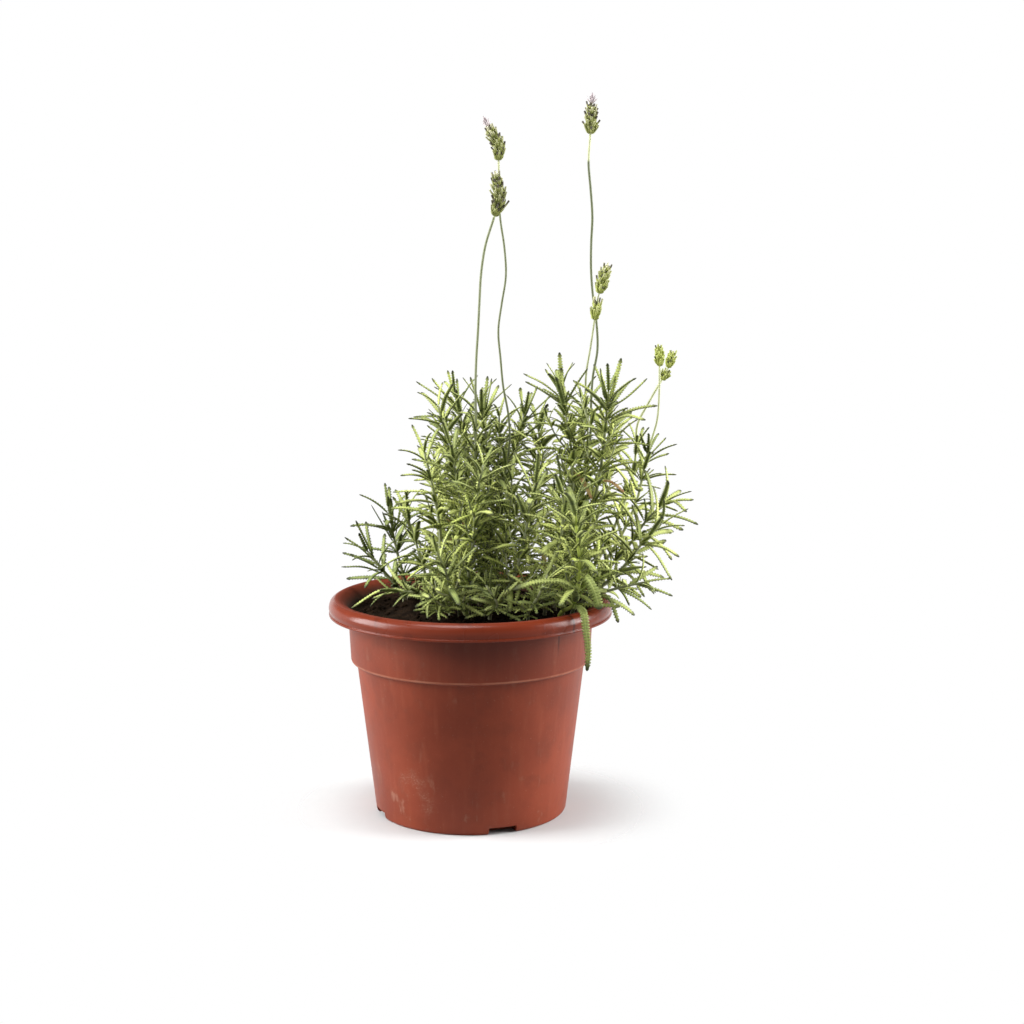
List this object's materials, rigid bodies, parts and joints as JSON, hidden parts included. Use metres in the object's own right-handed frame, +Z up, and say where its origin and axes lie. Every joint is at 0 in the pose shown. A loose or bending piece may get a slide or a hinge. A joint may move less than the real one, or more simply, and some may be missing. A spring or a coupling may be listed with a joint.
{
  "type": "potted lavender",
  "caption": "Bushy herb with narrow toothed leaves and long bare stalks that end in bud spikes, in a round tapered nursery pot with a rolled rim.",
  "frame": {"origin": "centre of the pot's flat underside, on the pot's axis", "axes": "+Z up along the pot's axis; the picture is taken from the -Y side, with +X to the right"},
  "size_m": [0.2574, 0.2, 0.5018],
  "materials": {
    "pot_plastic": "satin",
    "soil": "matte",
    "foliage": "matte",
    "stalks": "matte",
    "flower_buds": "matte",
    "open_florets": "matte"
  },
  "bodies": {
    "root": {"pot": "pot_plastic", "soil": "soil", "leafy_stem_left_a": "foliage", "leafy_stem_left_b": "foliage", "leafy_stem_a": "foliage", "leafy_stem_b": "foliage", "leafy_stem_c": "foliage", "leafy_stem_d": "foliage", "leafy_stem_e": "foliage", "leafy_stem_f": "foliage", "leafy_stem_g": "foliage", "leafy_stem_h": "foliage", "leafy_stem_i": "foliage", "leafy_stem_j": "foliage", "leafy_stem_k": "foliage", "leafy_stem_l": "foliage", "leafy_stem_m": "foliage", "leafy_stem_n": "foliage", "leafy_stem_o": "foliage", "leafy_stem_p": "foliage", "leafy_stem_q": "foliage", "leafy_stem_r": "foliage", "leafy_stem_front": "foliage", "leafy_stem_s": "foliage", "leafy_stem_t": "foliage", "leafy_stem_u": "foliage", "leafy_stem_v": "foliage", "leafy_stem_w": "foliage", "leafy_stem_x": "foliage", "leafy_stem_y": "foliage", "flowering_stem_a": "stalks", "flowering_stem_b": "stalks", "flowering_stem_c": "stalks", "flowering_stem_d": "stalks", "flowering_stem_e": "stalks", "flowering_stem_f": "stalks", "flowering_spike_a": "flower_buds", "flowering_spike_b": "flower_buds", "flowering_spike_c": "flower_buds", "flowering_spike_d": "flower_buds", "flowering_spike_e": "flower_buds", "flowering_spike_f": "flower_buds", "flowering_tuft_a": "open_florets", "flowering_tuft_c": "open_florets"}
  },
  "joints": []
}
